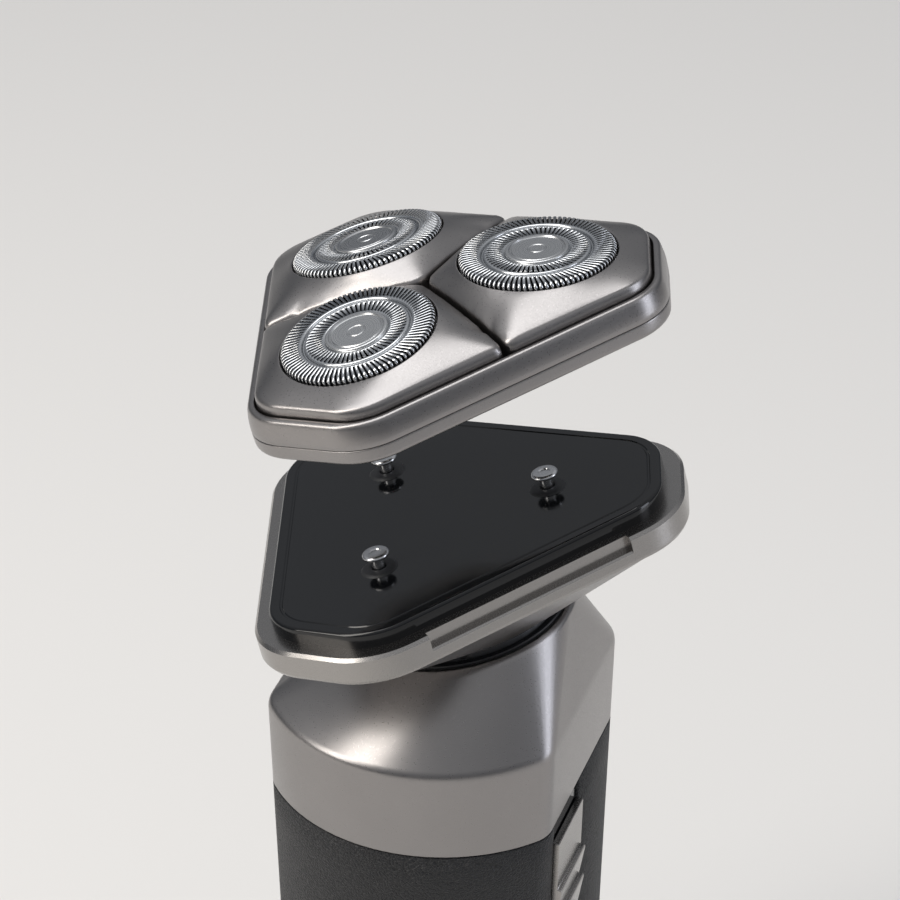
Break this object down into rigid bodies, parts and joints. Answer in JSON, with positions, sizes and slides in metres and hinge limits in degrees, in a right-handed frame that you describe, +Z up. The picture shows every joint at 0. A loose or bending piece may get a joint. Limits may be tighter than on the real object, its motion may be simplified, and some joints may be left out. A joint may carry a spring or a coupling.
{
  "type": "rotary electric shaver",
  "caption": "Rotary shaver: leather-wrapped handle, slanted swivelling and floating neck, geared drive tray, and a lift-off head with slotted round cutters on flexing pads.",
  "frame": {"origin": "centre of the flat base that the shaver stands on", "axes": "+Z up along the handle; -Y is the flat face with the switch; the head leans toward +Y"},
  "size_m": [0.0709, 0.0714, 0.1914],
  "materials": {
    "gunmetal": "satin titanium-grey metallic",
    "light_metal": "satin silver",
    "gloss_black": "gloss",
    "satin_black": "satin",
    "leather": "fine-grained",
    "rubber": "matte",
    "steel": "turned",
    "chrome": "polished",
    "copper": "wound wire",
    "nylon": "natural moulded",
    "grey_plastic": "satin",
    "lens": "clear",
    "battery": "shrink sleeve",
    "board": "solder mask"
  },
  "bodies": {
    "handle": {"foot_pad": "rubber", "base_cap": "gunmetal", "base_screws": "steel", "usb_socket": "steel", "handle_shell": "satin_black", "leather_wrap": "leather", "front_strip": "gloss_black", "indicator_lens": "lens", "chassis": "satin_black", "battery": "battery", "circuit_board": "board", "motor_can": "steel", "collar": "gunmetal", "neck_ring": "satin_black"},
    "switch": {"switch_slider": "light_metal"},
    "rotor": {"motor_rotor": "copper", "drive_cup": "nylon"},
    "swivel": {"swivel_ring": "satin_black", "swivel_pins": "steel"},
    "gimbal": {"gimbal_ring": "steel", "gimbal_pins": "steel"},
    "tray": {"tray_hub": "satin_black", "tray_cup": "gunmetal", "tray_rim": "light_metal", "deck_plate": "gloss_black", "tray_magnets": "steel", "tray_screws": "steel"},
    "pinion": {"pinion_shaft": "steel", "drive_pinion": "nylon"},
    "head": {"head_base": "gunmetal", "head_frame": "gunmetal", "retaining_frame": "satin_black", "head_magnets": "steel", "pad_pins": "steel", "pad_springs": "steel"},
    "lock": {"lock_knob": "grey_plastic"},
    "spindle_1": {"spindle_1": "steel", "drive_gear_1": "nylon"},
    "pad_1": {"pad_1": "gunmetal", "outer_cutter_1": "chrome", "cutter_cap_1": "light_metal"},
    "cutter_1": {"inner_cutter_1": "steel", "cutter_coupler_1": "nylon"},
    "spindle_2": {"spindle_2": "steel", "drive_gear_2": "nylon"},
    "pad_2": {"pad_2": "gunmetal", "outer_cutter_2": "chrome", "cutter_cap_2": "light_metal"},
    "cutter_2": {"inner_cutter_2": "steel", "cutter_coupler_2": "nylon"},
    "spindle_3": {"spindle_3": "steel", "drive_gear_3": "nylon"},
    "pad_3": {"pad_3": "gunmetal", "outer_cutter_3": "chrome", "cutter_cap_3": "light_metal"},
    "cutter_3": {"inner_cutter_3": "steel", "cutter_coupler_3": "nylon"}
  },
  "joints": [
    {"name": "switch_slide", "type": "slide", "parent": "handle", "child": "switch", "axis": [0, -0.0244, 0.9997], "range_m": [0, 0.003]},
    {"name": "motor_spin", "type": "hinge", "parent": "handle", "child": "rotor", "pos_m": [0, -0.0034, 0.1], "axis": [0, 0, 1], "continuous": true},
    {"name": "neck_swivel", "type": "hinge", "parent": "handle", "child": "swivel", "pos_m": [0, -0.0034, 0.1273], "axis": [0, 0.2419, 0.9703], "range_deg": [-38, 2]},
    {"name": "head_tilt_side", "type": "hinge", "parent": "swivel", "child": "gimbal", "pos_m": [0, -0.0034, 0.1273], "axis": [0.9511, 0.2998, -0.0748], "range_deg": [-4, 4], "stiffness_Nm_per_rad": 0.6},
    {"name": "head_tilt_front", "type": "hinge", "parent": "gimbal", "child": "tray", "pos_m": [0, -0.0034, 0.1273], "axis": [-0.309, 0.9228, -0.2301], "range_deg": [-4, 4], "stiffness_Nm_per_rad": 0.6},
    {"name": "pinion_spin", "type": "hinge", "parent": "tray", "child": "pinion", "pos_m": [0, -0.0034, 0.1273], "axis": [0, 0.2419, 0.9703], "continuous": true},
    {"name": "spindle_1_spin", "type": "hinge", "parent": "tray", "child": "spindle_1", "pos_m": [0.00533, -0.01506, 0.14835], "axis": [0, 0.2419, 0.9703], "continuous": true},
    {"name": "spindle_2_spin", "type": "hinge", "parent": "tray", "child": "spindle_2", "pos_m": [-0.01687, 0.00434, 0.14351], "axis": [0, 0.2419, 0.9703], "continuous": true},
    {"name": "spindle_3_spin", "type": "hinge", "parent": "tray", "child": "spindle_3", "pos_m": [0.01154, 0.0133, 0.14128], "axis": [0, 0.2419, 0.9703], "continuous": true},
    {"name": "head_lift", "type": "slide", "parent": "tray", "child": "head", "axis": [0, 0, 1], "range_m": [-0.0298, 0]},
    {"name": "lock_turn", "type": "hinge", "parent": "head", "child": "lock", "pos_m": [0, 0.00086, 0.17438], "axis": [0, 0.2419, 0.9703], "range_deg": [0, 60]},
    {"name": "pad_1_flex", "type": "hinge", "parent": "head", "child": "pad_1", "pos_m": [0.00087, -0.00037, 0.18046], "axis": [0.9511, 0.2998, -0.0748], "range_deg": [0, 3], "stiffness_Nm_per_rad": 0.3, "deforming": ["pad_springs"]},
    {"name": "pad_2_flex", "type": "hinge", "parent": "head", "child": "pad_2", "pos_m": [-0.00274, 0.00278, 0.17967], "axis": [-0.2079, -0.9491, 0.2366], "range_deg": [0, 3], "stiffness_Nm_per_rad": 0.3},
    {"name": "pad_3_flex", "type": "hinge", "parent": "head", "child": "pad_3", "pos_m": [0.00187, 0.00423, 0.17931], "axis": [-0.7431, 0.6493, -0.1619], "range_deg": [0, 3], "stiffness_Nm_per_rad": 0.3},
    {"name": "cutter_1_spin", "type": "hinge", "parent": "pad_1", "child": "cutter_1", "pos_m": [0.0055, -0.01274, 0.18983], "axis": [0.0377, 0.1277, 0.9911], "continuous": true},
    {"name": "cutter_2_spin", "type": "hinge", "parent": "pad_2", "child": "cutter_2", "pos_m": [-0.01741, 0.00728, 0.18483], "axis": [-0.1192, 0.2647, 0.9569], "continuous": true},
    {"name": "cutter_3_spin", "type": "hinge", "parent": "pad_3", "child": "cutter_3", "pos_m": [0.01191, 0.01652, 0.18253], "axis": [0.0815, 0.328, 0.9412], "continuous": true}
  ],
  "couplings": [
    {"joint": "pinion_spin", "follows": "motor_spin", "ratio": 1},
    {"joint": "spindle_1_spin", "follows": "motor_spin", "ratio": -0.25455},
    {"joint": "cutter_1_spin", "follows": "motor_spin", "ratio": -0.25455},
    {"joint": "spindle_2_spin", "follows": "motor_spin", "ratio": -0.25455},
    {"joint": "cutter_2_spin", "follows": "motor_spin", "ratio": -0.25455},
    {"joint": "spindle_3_spin", "follows": "motor_spin", "ratio": -0.25455},
    {"joint": "cutter_3_spin", "follows": "motor_spin", "ratio": -0.25455}
  ]
}
